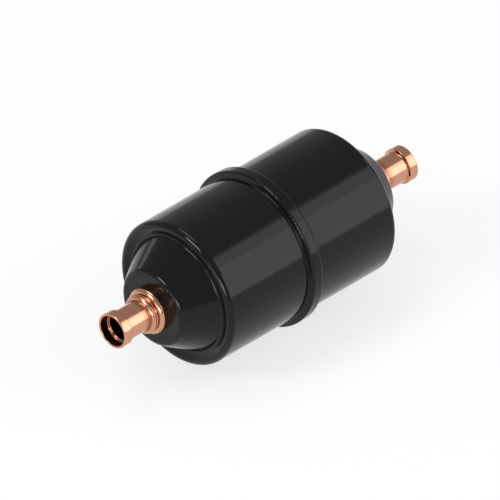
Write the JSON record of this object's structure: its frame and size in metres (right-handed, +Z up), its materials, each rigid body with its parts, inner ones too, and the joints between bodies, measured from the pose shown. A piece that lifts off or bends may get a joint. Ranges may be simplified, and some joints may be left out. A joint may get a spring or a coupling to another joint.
{
  "type": "filter drier",
  "caption": "Straight hermetic filter drier: black drawn-steel shell with a raised middle band, dished coned ends and copper solder sockets, holding a sprung solid desiccant core.",
  "frame": {"origin": "on the flow axis, midway between the two socket mouths, at the middle of the raised band", "axes": "+X along the flow axis from the inlet to the outlet; +Z up as it lies in a horizontal line"},
  "size_m": [0.199, 0.0824, 0.0824],
  "materials": {
    "shell_paint": "gloss black enamel",
    "copper": "drawn and turned copper, bright",
    "braze": "brazing filler, satin",
    "mild_steel": "rolled steel, satin",
    "spring_wire": "drawn spring wire, satin",
    "plate_steel": "zinc-plated pressed steel, satin",
    "screen_mesh": "woven stainless wire, satin",
    "felt": "pressed felt, matt",
    "polyester_mat": "needled fibre mat, matt",
    "desiccant": "moulded porous block, matt"
  },
  "bodies": {
    "root": {"inlet_shell": "shell_paint", "outlet_shell": "shell_paint", "girth_weld": "shell_paint", "seam_ring": "mild_steel", "inlet_collar": "copper", "outlet_collar": "copper", "inlet_stub": "copper", "outlet_stub": "copper", "inlet_braze_ring": "braze", "outlet_braze_ring": "braze", "compression_spring": "spring_wire", "pressure_plate": "plate_steel", "inlet_screen": "screen_mesh", "inlet_felt_pad": "felt", "desiccant_core": "desiccant", "core_gasket": "felt", "filter_mat": "polyester_mat", "outlet_screen": "screen_mesh", "outlet_plate": "plate_steel"}
  },
  "joints": []
}
